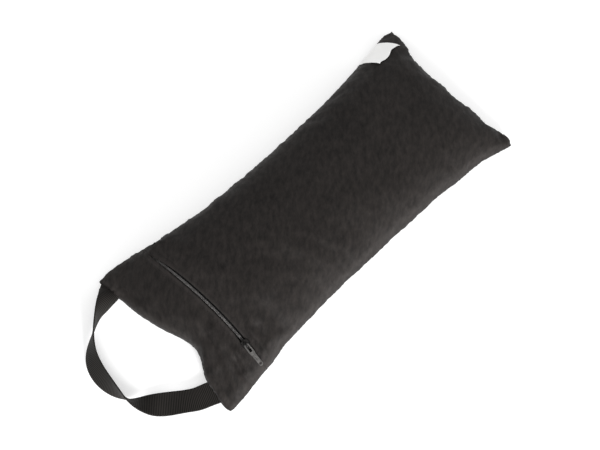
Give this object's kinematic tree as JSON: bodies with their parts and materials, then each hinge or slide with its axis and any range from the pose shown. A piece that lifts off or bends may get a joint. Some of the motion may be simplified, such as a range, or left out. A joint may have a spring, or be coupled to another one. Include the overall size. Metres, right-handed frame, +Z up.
{
  "type": "exercise sandbag",
  "caption": "Soft black exercise bag filled with sand, with a zipped cover, a webbing handle at one end and a blank label in a side seam.",
  "frame": {"origin": "middle of the flat underside, on the surface that the bag lies on", "axes": "+X along the bag from the handle end to the far end, +Y to the left when looking along +X, +Z up out of the zipped face"},
  "size_m": [0.5146, 0.201, 0.0558],
  "materials": {
    "twill": "black cotton twill",
    "webbing": "black ribbed webbing",
    "zip_tape": "woven tape",
    "zip_nylon": "nylon coil",
    "gunmetal": "gunmetal plating",
    "label_satin": "white satin, blank",
    "liner_cloth": "coated lining cloth",
    "closure_strip": "hook and loop",
    "sand": "dry loose sand"
  },
  "bodies": {
    "bag": {"cover_main_panel": "twill", "cover_end_panel": "twill", "cover_back_panel": "twill", "zip_tape_far": "zip_tape", "zip_tape_near": "zip_tape", "zip_teeth_far": "zip_nylon", "zip_teeth_near": "zip_nylon", "zip_top_stop_far": "gunmetal", "zip_top_stop_near": "gunmetal", "zip_bottom_stop": "gunmetal", "handle_root_left": "webbing", "handle_root_right": "webbing", "care_label": "label_satin", "liner_bag": "liner_cloth", "liner_hook_strip": "closure_strip", "liner_loop_strip": "closure_strip", "sand_fill": "sand"},
    "slider": {"zip_slider": "gunmetal"},
    "pull": {"zip_pull": "gunmetal"},
    "handle": {"handle_strap": "webbing"}
  },
  "joints": [
    {"name": "zip_slider_travel", "type": "hinge", "parent": "bag", "child": "slider", "pos_m": [-0.164, 0, -0.23156], "axis": [-0.9992, -0.0401, 0], "range_deg": [0, 26.5], "deforming": ["zip_teeth_far", "zip_teeth_near"]},
    {"name": "zip_pull_flip", "type": "hinge", "parent": "slider", "child": "pull", "pos_m": [-0.16201, -0.06626, 0.03572], "axis": [-0.9648, 0.0262, -0.2619], "range_deg": [0, 175]},
    {"name": "handle_swing", "type": "hinge", "parent": "bag", "child": "handle", "pos_m": [-0.2196, 0.0022, 0.006], "axis": [-0.0215, 0.9998, 0], "range_deg": [0, 100]}
  ]
}
